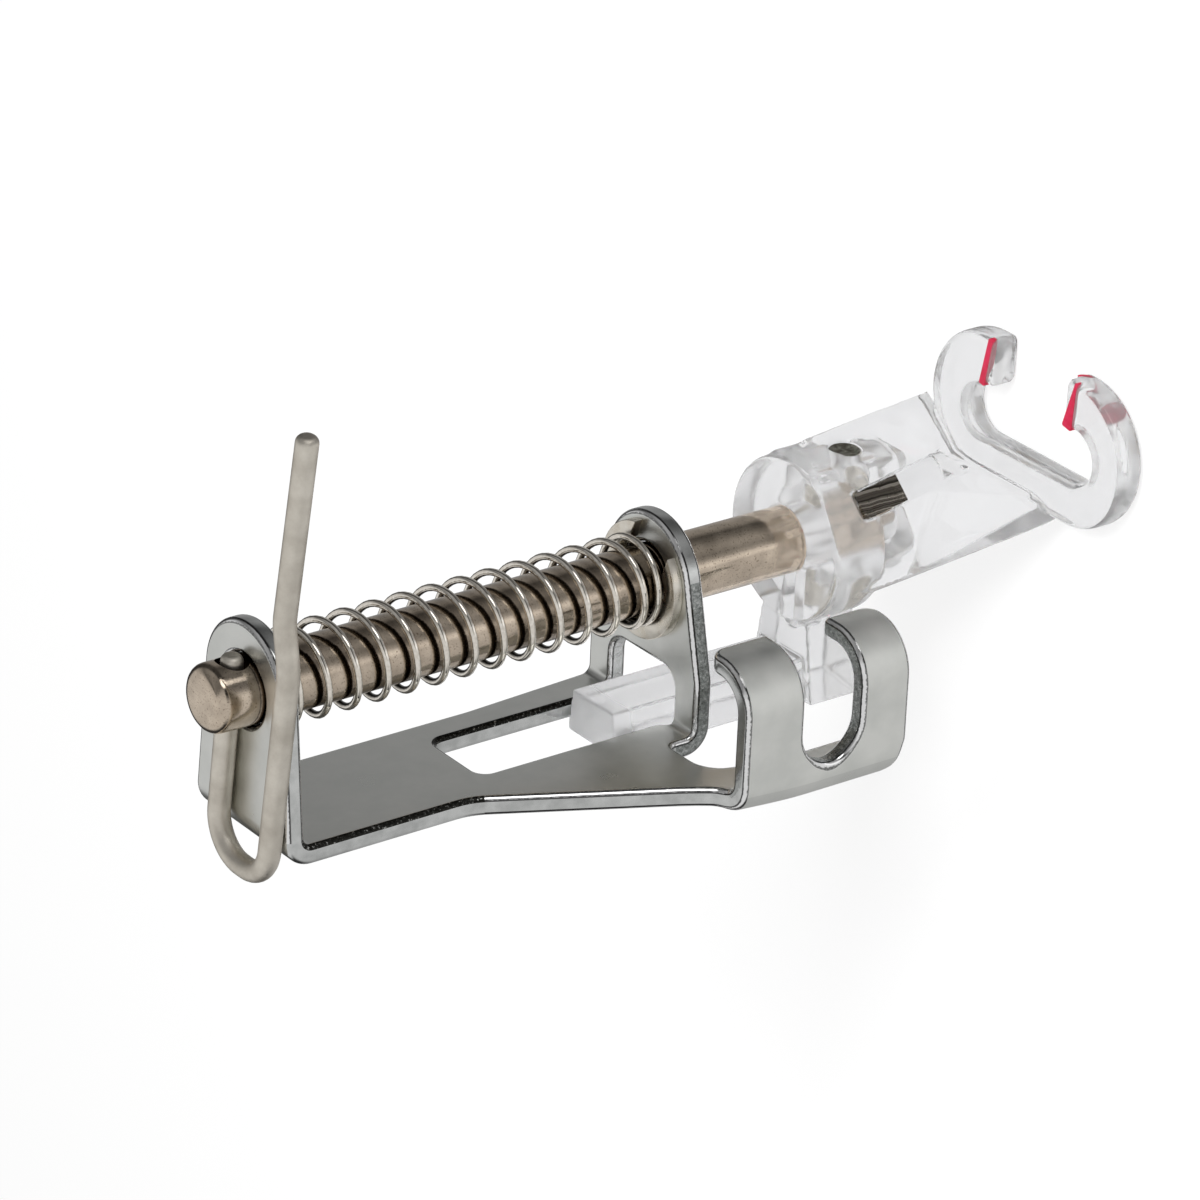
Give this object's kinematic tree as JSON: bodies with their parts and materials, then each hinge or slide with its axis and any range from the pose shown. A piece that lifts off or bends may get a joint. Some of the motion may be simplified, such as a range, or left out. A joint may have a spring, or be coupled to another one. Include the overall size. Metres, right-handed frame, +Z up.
{
  "type": "sewing machine presser foot",
  "caption": "Free-motion presser foot: sheet-metal shank with slotted fork, sprung sliding shaft with lift wire, and a clear open-toe ring.",
  "frame": {"origin": "centre of the thumb screw's slot, on the outer face of the fork", "axes": "+Z up along the sliding shaft as the foot hangs on the machine, -Y to the front, -X out of the fork's outer face"},
  "size_m": [0.0217, 0.0286, 0.0531],
  "materials": {
    "chrome_sheet": "bright plated, coarse on the sheared edges",
    "nickel_shaft": "warm nickel, finely speckled",
    "spring_steel": "bright drawn wire",
    "clip_steel": "pale satin",
    "wire_steel": "matte drawn wire",
    "clear_plastic": "clear moulded plastic",
    "pin_steel": "dark cut end",
    "red_paint": "gloss paint fill"
  },
  "bodies": {
    "bracket": {"bracket": "chrome_sheet", "spring": "spring_steel"},
    "slider": {"shaft": "nickel_shaft", "clip": "clip_steel", "lift_wire": "wire_steel", "clear_toe": "clear_plastic", "foot_pin": "pin_steel", "left_mark": "red_paint", "right_mark": "red_paint"}
  },
  "joints": [
    {"name": "foot_slide", "type": "slide", "parent": "bracket", "child": "slider", "axis": [0, 0, 1], "range_m": [0, 0.0084], "stiffness_N_per_m": 250, "springref_m": -0.006, "deforming": ["spring"]}
  ]
}
